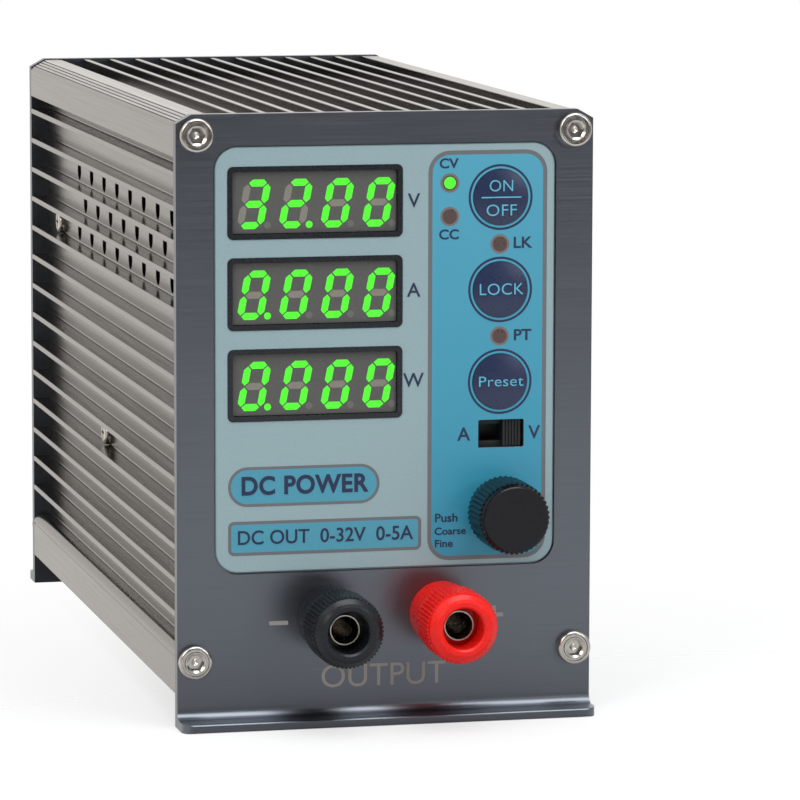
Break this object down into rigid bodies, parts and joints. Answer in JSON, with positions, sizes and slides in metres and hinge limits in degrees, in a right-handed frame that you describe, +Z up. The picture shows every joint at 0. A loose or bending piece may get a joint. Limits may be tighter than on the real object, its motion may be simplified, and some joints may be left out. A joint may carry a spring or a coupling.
{
  "type": "bench power supply",
  "caption": "Compact adjustable bench power supply in a finned aluminium case with numeric displays, keys, a control knob and binding posts.",
  "frame": {"origin": "middle of the footprint, on the surface that the foot lips stand on", "axes": "+X to the user's right, +Y from the front panel to the rear panel, +Z up"},
  "size_m": [0.085, 0.2056, 0.1225],
  "materials": {
    "shell_anodised": "fine matt champagne anodised extrusion",
    "panel_anodised": "brushed dark blue-grey anodised sheet",
    "nickel_screws": "bright nickel plate",
    "overlay_film": "satin printed polycarbonate film",
    "key_film": "satin printed domed film",
    "display_frame": "gloss black frame",
    "display_face": "smoked display face",
    "led_lens": "diffused round lens",
    "black_plastic": "fine textured moulded plastic",
    "knob_plastic": "satin black moulding",
    "red_plastic": "glossy red moulding",
    "post_black_plastic": "glossy black moulding",
    "nickel_brass": "nickel plated brass",
    "plated_steel": "zinc plated steel",
    "circuit_board": "green solder mask",
    "ferrite": "sintered ferrite",
    "winding_tape": "yellow polyester tape",
    "capacitor_sleeve": "shrink sleeve",
    "copper_winding": "enamelled copper",
    "package_epoxy": "moulded epoxy",
    "bare_aluminium": "mill finish",
    "wire_sleeve": "flexible wire insulation",
    "ribbon_grey": "flat cable",
    "fuse_glass": "clear glass tube with end caps",
    "tin_plate": "tinned contacts"
  },
  "bodies": {
    "chassis": {"case_shell": "shell_anodised", "base_plate": "shell_anodised", "front_panel": "panel_anodised", "rear_panel": "panel_anodised", "front_screws": "nickel_screws", "rear_screws": "nickel_screws", "pan_screws": "nickel_screws", "label_overlay": "overlay_film", "display_bezels": "display_frame", "display_modules": "display_face", "indicator_leds": "led_lens", "tactile_switches": "black_plastic", "slide_switch_body": "black_plastic", "encoder_body": "plated_steel", "encoder_nut": "plated_steel", "post_insulator_black": "post_black_plastic", "post_insulator_red": "red_plastic", "post_studs": "nickel_brass", "post_backings": "black_plastic", "post_nuts": "nickel_brass", "post_tags": "tin_plate", "display_board": "circuit_board", "board_spacers": "nickel_brass", "main_board": "circuit_board", "board_standoffs": "nickel_brass", "transformer_core": "ferrite", "transformer_winding": "winding_tape", "bulk_capacitors": "capacitor_sleeve", "output_capacitors": "capacitor_sleeve", "filter_choke": "copper_winding", "bridge_rectifier": "package_epoxy", "heat_spreaders": "bare_aluminium", "power_transistors": "package_epoxy", "mains_inlet": "black_plastic", "inlet_pins": "tin_plate", "power_switch_body": "black_plastic", "fan_frame": "black_plastic", "fan_guard": "plated_steel", "fan_screws": "nickel_screws", "output_wires": "wire_sleeve", "mains_wires": "wire_sleeve", "ribbon_cable": "ribbon_grey"},
    "on_off_key": {"button_on_off": "key_film", "plunger_on_off": "black_plastic"},
    "lock_key": {"button_lock": "key_film", "plunger_lock": "black_plastic"},
    "preset_key": {"button_preset": "key_film", "plunger_preset": "black_plastic"},
    "mode_slider": {"slide_switch_lever": "black_plastic"},
    "knob_push_stage": {"encoder_slider": "black_plastic"},
    "knob": {"encoder_shaft": "plated_steel", "control_knob": "knob_plastic"},
    "black_post_stage": {"post_washer_black": "nickel_brass"},
    "black_post_cap": {"post_cap_black": "post_black_plastic"},
    "red_post_stage": {"post_washer_red": "nickel_brass"},
    "red_post_cap": {"post_cap_red": "red_plastic"},
    "fan_impeller": {"fan_rotor": "black_plastic"},
    "rocker": {"power_rocker": "black_plastic"},
    "fuse_holder": {"fuse_drawer": "black_plastic", "fuse": "fuse_glass"}
  },
  "joints": [
    {"name": "on_off_press", "type": "slide", "parent": "chassis", "child": "on_off_key", "axis": [0, 1, 0], "range_m": [0, 0.0004], "stiffness_N_per_m": 1500, "springref_m": -0.0004},
    {"name": "lock_press", "type": "slide", "parent": "chassis", "child": "lock_key", "axis": [0, 1, 0], "range_m": [0, 0.0004], "stiffness_N_per_m": 1500, "springref_m": -0.0004},
    {"name": "preset_press", "type": "slide", "parent": "chassis", "child": "preset_key", "axis": [0, 1, 0], "range_m": [0, 0.0004], "stiffness_N_per_m": 1500, "springref_m": -0.0004},
    {"name": "mode_slide", "type": "slide", "parent": "chassis", "child": "mode_slider", "axis": [-1, 0, 0], "range_m": [0, 0.0046]},
    {"name": "knob_push", "type": "slide", "parent": "chassis", "child": "knob_push_stage", "axis": [0, 1, 0], "range_m": [0, 0.0005], "stiffness_N_per_m": 1500, "springref_m": -0.0005},
    {"name": "knob_turn", "type": "hinge", "parent": "knob_push_stage", "child": "knob", "pos_m": [0.0235, -0.09055, 0.042], "axis": [0, -1, 0], "continuous": true},
    {"name": "black_post_travel", "type": "slide", "parent": "chassis", "child": "black_post_stage", "axis": [0, -1, 0], "range_m": [0, 0.0048]},
    {"name": "black_post_turn", "type": "hinge", "parent": "black_post_stage", "child": "black_post_cap", "pos_m": [-0.0116, -0.09555, 0.0213], "axis": [0, -1, 0], "range_deg": [0, 2160]},
    {"name": "red_post_travel", "type": "slide", "parent": "chassis", "child": "red_post_stage", "axis": [0, -1, 0], "range_m": [0, 0.0048]},
    {"name": "red_post_turn", "type": "hinge", "parent": "red_post_stage", "child": "red_post_cap", "pos_m": [0.0116, -0.09555, 0.0213], "axis": [0, -1, 0], "range_deg": [0, 2160]},
    {"name": "power_rock", "type": "hinge", "parent": "chassis", "child": "rocker", "pos_m": [0.022, 0.09545, 0.04], "axis": [-1, 0, 0], "range_deg": [0, 20]},
    {"name": "fuse_slide", "type": "slide", "parent": "chassis", "child": "fuse_holder", "axis": [0, 1, 0], "range_m": [0, 0.012]},
    {"name": "fan_spin", "type": "hinge", "parent": "chassis", "child": "fan_impeller", "pos_m": [0, 0.08945, 0.09], "axis": [0, 1, 0], "continuous": true}
  ],
  "couplings": [
    {"joint": "black_post_turn", "follows": "black_post_travel", "rad_per_m": 7854},
    {"joint": "red_post_turn", "follows": "red_post_travel", "rad_per_m": 7854}
  ]
}
